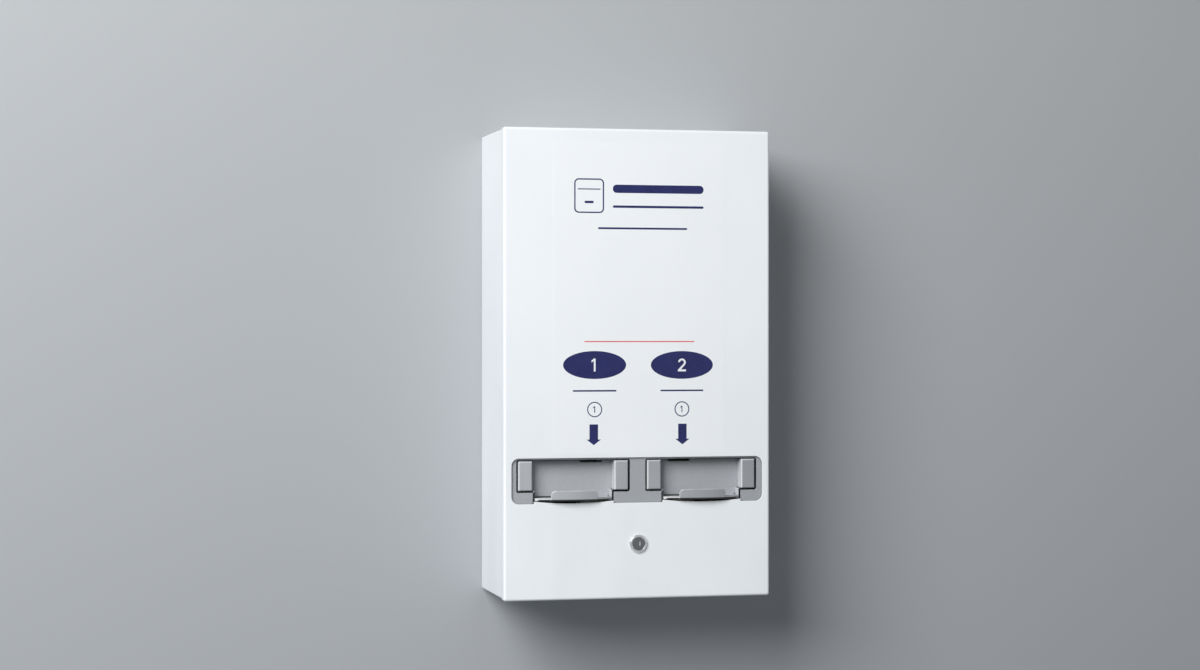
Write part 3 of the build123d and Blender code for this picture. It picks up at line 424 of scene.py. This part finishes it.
# Small fixings
# The shelf screws, bezel clips, pawl pins, lock nut and cam screw: plain steel with a bright zinc plate.
# Plated in a barrel, so the flats are even and the corners a little brighter.
fixing_zinc, fixing_tree, fixing_shader = new_finish("fastener_steel")
fixing_grain = place_group(fixing_tree, fine_grain, Grain=2200.0, Cloud=160.0, Detail=4.0)
fixing_rub = place_group(fixing_tree, edge_band, Radius=0.0003, Breakup=400.0)
fixing_tone = blend(fixing_grain["Mottle"], (0.52, 0.53, 0.55), (0.63, 0.635, 0.64))
give(
    fixing_shader,
    Base_Color=blend(fixing_rub["Edge"], fixing_tone, (0.80, 0.80, 0.80)),
    Roughness=between(fixing_grain["Mottle"], 0.22, 0.36),
    Metallic=1.0,
)
bump_from(fixing_shader, fixing_grain["Height"], 0.00001, fixing_rub["Soft Normal"])
dress(fixing_zinc, "shelf_screws", "bezel_clips", "pawl_pin_left", "pawl_pin_right", "lock_nut", "cam_screw")

# Front label
# A clear matt film with rounded corners, rolled on to the cover above the drawers, that carries the print.
# It has the tone of the coat that shows through it, a little smoother, and its edge shows as a hair line.
cover_face_y = -0.162
film_thickness = 0.00015
film_left, film_right = -0.1115, 0.1145
film_bottom, film_top = -0.1150, 0.2830
film_corner = 0.004


def arc_points(centre_x, centre_z, radius_x, radius_z, start, end, steps):
    """Points on an elliptical arc, in degrees from +X towards +Z."""
    points = []
    for i in range(steps + 1):
        angle = math.radians(start + (end - start) * i / steps)
        points.append((centre_x + radius_x * math.cos(angle), centre_z + radius_z * math.sin(angle)))
    return points


def rounded_outline(left, right, bottom, top, corner):
    """The outline of a rectangle with rounded corners."""
    corner_steps = 8
    points = arc_points(right - corner, top - corner, corner, corner, 0, 90, corner_steps)
    points += arc_points(left + corner, top - corner, corner, corner, 90, 180, corner_steps)
    points += arc_points(left + corner, bottom + corner, corner, corner, 180, 270, corner_steps)
    points += arc_points(right - corner, bottom + corner, corner, corner, 270, 360, corner_steps)
    return points


def finished_piece(name, work, material):
    """A new object from a bmesh, with its normals outward and one material."""
    bmesh.ops.recalc_face_normals(work, faces=work.faces)
    mesh = bpy.data.meshes.new(name)
    work.to_mesh(mesh)
    work.free()
    mesh.materials.append(material)
    piece = bpy.data.objects.new(name, mesh)
    bpy.context.collection.objects.link(piece)
    return piece


def layer(name, outlines, back_y, thickness, material):
    """A thin layer on the cover's face, made from one or more outlines in XZ."""
    work = bmesh.new()
    for points in outlines:
        face = work.faces.new([work.verts.new((x, back_y, z)) for x, z in points])
        face.normal_update()
        if face.normal.y > 0:
            face.normal_flip()
    grown = bmesh.ops.extrude_face_region(work, geom=list(work.faces), use_keep_orig=True)
    moved = [v for v in grown["geom"] if isinstance(v, bmesh.types.BMVert)]
    bmesh.ops.translate(work, vec=(0.0, -thickness, 0.0), verts=moved)
    piece = finished_piece(name, work, material)
    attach(piece, "cover")


label_film, film_tree, film_shader = new_finish("label_film")
film_grain = place_group(film_tree, fine_grain, Grain=260.0, Cloud=9.0, Detail=1.0)
give(
    film_shader,
    Base_Color=blend(film_grain["Mottle"], (0.815, 0.842, 0.866), (0.832, 0.858, 0.880)),
    Roughness=between(film_grain["Mottle"], 0.30, 0.36),
)
bump_from(film_shader, film_grain["Height"], 0.00004, strength=0.4)
film_outline = rounded_outline(film_left, film_right, film_bottom, film_top, film_corner)
layer("front_label_film", [film_outline], cover_face_y, film_thickness, label_film)

# Print on the label
# Screen-printed ink: two navy ovals that number the drawers, arrows to the coin slots, and plain rules.
# The ink stands a hair above the film, even and slightly glossy, with a faint mesh in it.
ink_thickness = 0.00004
film_face_y = cover_face_y - film_thickness
ink_face_y = film_face_y - ink_thickness


def ink(name, deep, pale):
    """A screen ink between two tones."""
    material, ink_tree, shader = new_finish(name)
    mesh_print = pattern(ink_tree, "ShaderNodeTexVoronoi", Scale=2600.0, Randomness=0.25)
    grain = place_group(ink_tree, fine_grain, Grain=1500.0, Cloud=60.0, Detail=3.0)
    give(
        shader,
        Base_Color=blend(grain["Mottle"], deep, pale),
        Roughness=between(grain["Mottle"], 0.26, 0.36),
    )
    bump_from(shader, mesh_print.outputs["Distance"], 0.00001, strength=0.5)
    return material


navy_ink = ink("navy_print", (0.0095, 0.0125, 0.086), (0.0125, 0.0165, 0.102))
red_ink = ink("red_print", (0.60, 0.055, 0.05), (0.68, 0.08, 0.07))
white_ink = ink("white_print", (0.80, 0.82, 0.85), (0.86, 0.88, 0.90))


def navy_layer(name, outlines):
    """A layer of navy ink on the film's face."""
    layer(name, outlines, film_face_y, ink_thickness, navy_ink)


def ring_outlines(centre_x, centre_z, outer, inner, pieces=4):
    """A ring as a few closed arcs."""
    arc_steps = 24
    outlines = []
    for k in range(pieces):
        start, end = 360.0 * k / pieces, 360.0 * (k + 1) / pieces
        outside = arc_points(centre_x, centre_z, outer, outer, start, end, arc_steps)
        inside = arc_points(centre_x, centre_z, inner, inner, end, start, arc_steps)
        outlines.append(outside + inside)
    return outlines


def frame_outlines(left, right, bottom, top, corner, stroke):
    """A rounded rectangle's outline of even stroke, as a left and a right half."""
    corner_steps = 8
    middle = (left + right) / 2
    inner = corner - stroke
    low, high = bottom + corner, top - corner
    halves = []
    for side, turn in ((right, 1), (left, -1)):
        centre = side - turn * corner
        foot = arc_points(centre, low, turn * corner, corner, 270, 360, corner_steps)
        head = arc_points(centre, high, turn * corner, corner, 0, 90, corner_steps)
        back = arc_points(centre, high, turn * inner, inner, 90, 0, corner_steps)
        home = arc_points(centre, low, turn * inner, inner, 360, 270, corner_steps)
        outside = [(middle, bottom)] + foot + head + [(middle, top)]
        inside = [(middle, top - stroke)] + back + home + [(middle, bottom + stroke)]
        halves.append(outside + inside)
    return halves


def figure_one(centre_x, centre_z, height):
    """The outline of a plain 1 with a flag, drawn in shares of its height."""
    stem = [(0.07, -0.5), (0.07, 0.5)]
    flag = [(-0.05, 0.5), (-0.25, 0.35), (-0.25, 0.2), (-0.07, 0.31), (-0.07, -0.5)]
    return [(centre_x + x * height, centre_z + z * height) for x, z in stem + flag]


def figure_two(centre_x, centre_z, height):
    """The outline of a plain 2, a bow on a foot, drawn in shares of its height."""
    outer_bow = arc_points(0.0, 0.2, 0.31, 0.3, 175, -38, 18)
    foot = [(-0.09, -0.35), (0.32, -0.35), (0.32, -0.5), (-0.33, -0.5), (-0.33, -0.39)]
    inner_bow = arc_points(0.0, 0.2, 0.16, 0.16, -38, 175, 14)
    return [(centre_x + x * height, centre_z + z * height) for x, z in outer_bow + foot + inner_bow]


oval_half_width, oval_half_height, oval_steps = 0.0412, 0.0178, 72
arrow_shaft_half, arrow_head_half = 0.0056, 0.0094
arrow_top, arrow_neck, arrow_tip = -0.0771, -0.0964, -0.1036
number_height, coin_number_height = 0.0165, 0.0082
rule_half_width, rule_bottom, rule_top, rule_corner = 0.0285, -0.0354, -0.0334, 0.0009
coin_outer, coin_inner, coin_z = 0.0098, 0.0085, -0.0582
units = (  # number, its figure, X of the oval and its signs, Z of the oval, X of the arrow
    ("1", figure_one, -0.0573, -0.0015, -0.0585),
    ("2", figure_two, 0.0577, -0.0017, 0.0583),
)
for number, figure, unit_x, oval_z, arrow_x in units:
    oval = arc_points(unit_x, oval_z, oval_half_width, oval_half_height, 0, 360, oval_steps)[:-1]
    navy_layer(f"drawer_oval_{number}", [oval])
    shape = figure(unit_x, oval_z, number_height)
    layer(f"drawer_number_{number}", [shape], ink_face_y, ink_thickness, white_ink)
    shaft_left, shaft_right = arrow_x - arrow_shaft_half, arrow_x + arrow_shaft_half
    head_left, head_right = arrow_x - arrow_head_half, arrow_x + arrow_head_half
    navy_layer(f"coin_arrow_{number}", [[
        (shaft_left, arrow_top), (shaft_right, arrow_top), (shaft_right, arrow_neck),
        (head_right, arrow_neck), (arrow_x, arrow_tip), (head_left, arrow_neck), (shaft_left, arrow_neck),
    ]])
    rule_left, rule_right = unit_x - rule_half_width, unit_x + rule_half_width
    rule = rounded_outline(rule_left, rule_right, rule_bottom, rule_top, rule_corner)
    navy_layer(f"pack_rule_{number}", [rule])
    coin = ring_outlines(unit_x, coin_z, coin_outer, coin_inner)
    coin.append(figure_one(unit_x, coin_z, coin_number_height))
    navy_layer(f"coin_sign_{number}", coin)

red_rule = rounded_outline(left=-0.0707, right=0.0743, bottom=0.0277, top=0.0290, corner=0.0005)
layer("upper_red_rule", [red_rule], film_face_y, ink_thickness, red_ink)

pack_left, pack_right, pack_bottom, pack_top = -0.0840, -0.0450, 0.1920, 0.2360
pack_corner, pack_stroke = 0.0060, 0.0017
fold_z, fold_half, fold_inset, fold_corner = 0.2225, 0.00065, 0.0045, 0.0006
tab_half, tab_below, tab_above, tab_corner = 0.0060, 0.0180, 0.0150, 0.0014
pack_x = (pack_left + pack_right) / 2
fold_left, fold_right = pack_left + fold_inset, pack_right - fold_inset
pack_mark = frame_outlines(pack_left, pack_right, pack_bottom, pack_top, pack_corner, pack_stroke)
pack_mark.append(rounded_outline(fold_left, fold_right, fold_z - fold_half, fold_z + fold_half, fold_corner))
pack_mark.append(rounded_outline(
    pack_x - tab_half, pack_x + tab_half, fold_z - tab_below, fold_z - tab_above, tab_corner,
))
navy_layer("pack_mark", pack_mark)
navy_layer("title_rules", [
    rounded_outline(left=-0.0335, right=0.0865, bottom=0.2180, top=0.2285, corner=0.0050),
    rounded_outline(left=-0.0335, right=0.0865, bottom=0.1990, top=0.2020, corner=0.0014),
    rounded_outline(left=-0.0529, right=0.0646, bottom=0.1716, top=0.1740, corner=0.0011),
])

# Bezel
# Injection moulded in grey ABS, behind the cover's window, with a T-shaped opening for each drawer front.
# The skin is finely grained, and its grey darkens to the right as painted shade for the light falling off.
# Edges are paler from wear and painted highlight, and painted shade lies black at the opening's rim and in
# the gaps.
# Over this half width each side of the middle, the grey darkens to the right: painted shade for the light
# falling off.
falloff_reach_x = 0.16
# Pale edges are wear and painted highlight; the near-black tone is painted shade.
edge_wear_and_highlight, painted_shade_tone = (0.68, 0.695, 0.71), (0.008, 0.008, 0.010)

# Painted shade in narrow gaps and hollows, where little light reaches.
painted_gap_shade, gap_in, gap_out = new_group(
    "painted_gap_shade",
    [("Reach", 0.005), ("Breakup", 40.0)],
    [("Darkening", "NodeSocketFloat")],
)
gap_shade = painted_gap_shade.nodes.new("ShaderNodeAmbientOcclusion")
gap_shade.samples = 8
give(gap_shade, Distance=gap_in["Reach"])
gap_noise = pattern(painted_gap_shade, "ShaderNodeTexNoise", Scale=gap_in["Breakup"], Detail=3.0)
open_share, shut_share = 0.60, 0.34
gap_depth = spread(gap_shade.outputs["AO"], open_share, shut_share)
gap_patches = spread(gap_noise.outputs["Fac"], 0.3, 0.5, 0.85, 1.0)
set_input(gap_out["Darkening"], join("MULTIPLY", gap_depth, gap_patches))

bezel_abs, bezel_tree, bezel_shader = new_finish("bezel_moulding")
bezel_grain = place_group(bezel_tree, fine_grain, Grain=1500.0, Cloud=26.0, Detail=4.0)
bezel_edge_band = place_group(bezel_tree, edge_band, Radius=0.0016, Breakup=150.0)
# A narrow edge band, painted black: painted shade at the opening's rim.
bezel_rim_band = place_group(bezel_tree, edge_band, Radius=0.0009, Breakup=400.0)
bezel_gap_shade = place_group(bezel_tree, painted_gap_shade, Reach=0.005, Breakup=60.0)
bezel_falloff_shade = spread(axes(bezel_tree)[0], -falloff_reach_x, falloff_reach_x)
bezel_tone = blend(bezel_falloff_shade, (0.378, 0.395, 0.418), (0.322, 0.337, 0.359))
bezel_cloud = blend(bezel_grain["Mottle"], bezel_tone, (0.335, 0.350, 0.370))
bezel_worn_and_lit = blend(bezel_edge_band["Edge"], bezel_cloud, edge_wear_and_highlight)
bezel_rim_shade = spread(bezel_rim_band["Edge"], 0.0, 0.3)
bezel_painted_shade = join("MAXIMUM", bezel_rim_shade, bezel_gap_shade["Darkening"])
give(
    bezel_shader,
    Base_Color=blend(bezel_painted_shade, bezel_worn_and_lit, painted_shade_tone),
    Roughness=between(bezel_grain["Mottle"], 0.36, 0.46),
)
bump_from(bezel_shader, bezel_grain["Height"], 0.00006, bezel_edge_band["Soft Normal"])
dress(bezel_abs, "bezel")

# Drawer fronts
# Injection moulded in the same grey: two bevelled blocks, a sanded panel between, a bowed ledge and a tab.
# Hands have polished the bevels and the tabs. Painted highlight lies on the bevels, the edges and the ledge,
# and painted shade on the ledge and in black lines.

# Where each mask starts and where it is full: by the way a face looks, by the height and the depth of a
# place, and, for the blocks, cheeks and corner, by its distance from the middle of its own front.
left_flank_x, top_bevel_z, facing_out_y = (-0.4, -0.65), (0.3, 0.55), (-0.5, -0.8)
panel_y, touched_y = (-0.1452, -0.1436), (-0.1590, -0.1640)
block_foot_z, block_face_y = (-0.1690, -0.1700), (-0.1500, -0.1530)
lip_z, lip_y = (-0.1716, -0.1722), (-0.1600, -0.1612)
cheek_z, corner_z, corner_y = (-0.1612, -0.1616), (-0.1684, -0.1692), (-0.1500, -0.1480)
left_block_x, right_block_x = (-0.0300, -0.0312), (0.0300, 0.0312)
cheek_x, corner_x = (0.0499, 0.0503), (0.0, -0.001)
front_centre_x = 0.0842


def overlap(*masks):
    """The part that all the masks share."""
    shared = masks[0]
    for mask in masks[1:]:
        shared = join("MULTIPLY", shared, mask)
    return shared


drawer_abs, fascia_tree, fascia_shader = new_finish("drawer_moulding")
fascia_x, fascia_y, fascia_z = axes(fascia_tree)
fascia_facing = axes(fascia_tree, "Normal")
fascia_grain = place_group(fascia_tree, fine_grain, Grain=1500.0, Cloud=26.0, Detail=4.0)
fascia_sand = place_group(fascia_tree, fine_grain, Grain=620.0, Cloud=90.0, Detail=2.5)
fascia_edge_band = place_group(fascia_tree, edge_band, Radius=0.0018, Breakup=150.0)
fascia_gap_shade = place_group(fascia_tree, painted_gap_shade, Reach=0.004, Breakup=60.0)

# The skin is clouded and sanded on the panel. Its grey darkens to the right, painted shade for the light
# falling off, and the bevels that face left and up are paler, a painted highlight.
fascia_falloff_shade = spread(fascia_x, -falloff_reach_x, falloff_reach_x)
fascia_tone = blend(fascia_falloff_shade, (0.412, 0.429, 0.451), (0.284, 0.298, 0.318))
fascia_dull = blend(fascia_falloff_shade, (0.388, 0.404, 0.425), (0.266, 0.279, 0.298))
fascia_cloud = blend(fascia_grain["Mottle"], fascia_tone, fascia_dull)
fascia_lit = join(
    "MAXIMUM", spread(fascia_facing[0], *left_flank_x), spread(fascia_facing[2], *top_bevel_z),
)
fascia_lit_skin = blend(fascia_lit, fascia_cloud, (0.57, 0.585, 0.605))
fascia_pale = blend(fascia_sand["Height"], (0.350, 0.366, 0.388), (0.470, 0.486, 0.508))
fascia_deep = blend(fascia_sand["Height"], (0.295, 0.309, 0.329), (0.400, 0.415, 0.436))
fascia_speck = blend(fascia_falloff_shade, fascia_pale, fascia_deep)
fascia_panel = spread(fascia_y, *panel_y)
fascia_skin = blend(fascia_panel, fascia_lit_skin, fascia_speck)

# At the blocks' feet, the ledge carries a painted highlight on the left and a painted shadow on the right.
fascia_off = join("SUBTRACT", join("ABSOLUTE", fascia_x), front_centre_x)
fascia_along = join("MULTIPLY", fascia_off, join("SIGN", fascia_x))
fascia_foot = spread(fascia_z, *block_foot_z)
fascia_face = spread(fascia_y, *block_face_y)
fascia_ledge_shadow = overlap(spread(fascia_along, *right_block_x), fascia_foot, fascia_face)
fascia_ledge_highlight = overlap(spread(fascia_along, *left_block_x), fascia_foot, fascia_face)
fascia_shadowed = blend(fascia_ledge_shadow, fascia_skin, (0.17, 0.18, 0.20))
fascia_highlighted = blend(fascia_ledge_highlight, fascia_shadowed, (0.60, 0.615, 0.63))
# Edges are paler from wear and painted highlight.
fascia_worn_and_lit = blend(fascia_edge_band["Edge"], fascia_highlighted, edge_wear_and_highlight)

# Painted shade draws black lines under the ledge, beside its cheeks, in the panel's near corner and in the
# gaps.
fascia_lip = overlap(spread(fascia_z, *lip_z), spread(fascia_y, *lip_y))
fascia_cheek = overlap(spread(join("ABSOLUTE", fascia_off), *cheek_x), spread(fascia_z, *cheek_z))
fascia_edges = overlap(join("MAXIMUM", fascia_lip, fascia_cheek), spread(fascia_facing[1], *facing_out_y))
fascia_corner = overlap(
    spread(fascia_z, *corner_z), spread(fascia_y, *corner_y), spread(fascia_along, *corner_x),
)
fascia_dark = join("MAXIMUM", fascia_edges, fascia_corner)
fascia_painted_shade = join("MAXIMUM", fascia_dark, fascia_gap_shade["Darkening"])

# Touched faces and rubbed edges are smoother, and the panel has the coarser grain.
fascia_satin = between(spread(fascia_y, *touched_y), 0.42, 0.34)
fascia_shine = spread(fascia_edge_band["Edge"], 0.0, 0.6, 0.42, 0.16)
fascia_height = fascia_tree.nodes.new("ShaderNodeMix")
give(fascia_height, Factor=fascia_panel, A=fascia_grain["Height"], B=fascia_sand["Height"])
give(
    fascia_shader,
    Base_Color=blend(fascia_painted_shade, fascia_worn_and_lit, painted_shade_tone),
    Roughness=join("MINIMUM", fascia_satin, fascia_shine),
    Specular_IOR_Level=0.7,
)
bump_from(fascia_shader, fascia_height.outputs["Result"], 0.00009, fascia_edge_band["Soft Normal"])
dress(drawer_abs, "drawer_fascia_left", "drawer_fascia_right")

# Lock
# A die-cast cam lock: a chromed head against the cover, and a dark plug with a key slit that turns in it.
# Keys have scratched the plug in rings round the slit, and painted shade darkens the chrome round its foot.
chrome_head, chrome_tree, chrome_shader = new_finish("chrome_lock")
chrome_grain = place_group(chrome_tree, fine_grain, Grain=1800.0, Cloud=120.0, Detail=5.0)
chrome_rub = place_group(chrome_tree, edge_band, Radius=0.0007, Breakup=350.0)
# Painted shade darkens the chrome where it meets the cover and in its hollows.
chrome_gap_shade = place_group(chrome_tree, painted_gap_shade, Reach=0.003, Breakup=300.0)
chrome_tone = blend(chrome_grain["Mottle"], (0.68, 0.695, 0.71), (0.76, 0.77, 0.78))
give(
    chrome_shader,
    Base_Color=blend(chrome_gap_shade["Darkening"], chrome_tone, (0.10, 0.10, 0.11)),
    Roughness=between(chrome_grain["Mottle"], 0.26, 0.38),
    Metallic=1.0,
)
bump_from(chrome_shader, chrome_grain["Height"], 0.000006, chrome_rub["Soft Normal"])
dress(chrome_head, "lock_body")

lock_centre = (0.0, -0.1646, -0.230)
dark_plug, plug_tree, plug_shader = new_finish("dark_plug")
plug_shift = pattern(plug_tree, "ShaderNodeMapping", Location=tuple(-c for c in lock_centre))
plug_rings = pattern(
    plug_tree, "ShaderNodeTexWave", Vector=plug_shift.outputs["Vector"],
    Scale=900.0, Distortion=3.0, Detail=3.0,
)
plug_rings.wave_type = "RINGS"
plug_rings.rings_direction = "Y"
plug_ring = plug_rings.outputs["Fac"]
plug_rub = place_group(plug_tree, edge_band, Radius=0.0004, Breakup=420.0)
plug_tone = blend(plug_ring, (0.112, 0.118, 0.126), (0.160, 0.167, 0.176))
give(
    plug_shader,
    Base_Color=blend(plug_rub["Edge"], plug_tone, (0.55, 0.555, 0.56)),
    Roughness=between(plug_ring, 0.3, 0.42),
    Metallic=0.4,
)
bump_from(plug_shader, plug_ring, 0.00001, plug_rub["Soft Normal"])
dress(dark_plug, "lock_plug")

# Key shutter
# A spring-loaded leaf that closes the plug's slit against dust until a key pushes it in.
# It is pressed from thin steel with a satin finish, slightly bulged, and it turns with the plug. Its
# near-white colour is a painted highlight for the glint on its curve.
shutter_x, shutter_y, shutter_z = 0.0016, -0.1640, -0.2300
shutter_half_width, shutter_half_length = 0.00062, 0.0025
shutter_sheet, shutter_bulge = 0.00025, 0.0004
bulge_across, bulge_along = 0.6, 0.4
steps_across, steps_along = 6, 12

shutter_steel, shutter_tree, shutter_shader = new_finish("shutter_steel")
shutter_grain = place_group(shutter_tree, fine_grain, Grain=3000.0, Cloud=500.0, Detail=3.0)
# Near-white and not metallic: a painted highlight.
give(
    shutter_shader,
    Base_Color=blend(shutter_grain["Mottle"], (0.90, 0.90, 0.88), (0.96, 0.96, 0.94)),
    Roughness=between(shutter_grain["Mottle"], 0.36, 0.48),
)
bump_from(shutter_shader, shutter_grain["Height"], 0.000006)

shutter_work = bmesh.new()
shutter_rows = []
for i in range(steps_along + 1):
    along = -1.0 + 2.0 * i / steps_along
    row = []
    for k in range(steps_across + 1):
        over = -1.0 + 2.0 * k / steps_across
        depth = shutter_bulge * (1.0 - bulge_across * over * over - bulge_along * along * along)
        row.append(shutter_work.verts.new((
            shutter_x + shutter_half_width * over,
            shutter_y - depth,
            shutter_z + shutter_half_length * along,
        )))
    shutter_rows.append(row)
for low_row, high_row in zip(shutter_rows, shutter_rows[1:]):
    for k in range(steps_across):
        shutter_work.faces.new((low_row[k], low_row[k + 1], high_row[k + 1], high_row[k]))
bmesh.ops.solidify(shutter_work, geom=list(shutter_work.faces), thickness=shutter_sheet)
key_shutter = finished_piece("key_shutter", shutter_work, shutter_steel)
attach(key_shutter, "lock_plug")
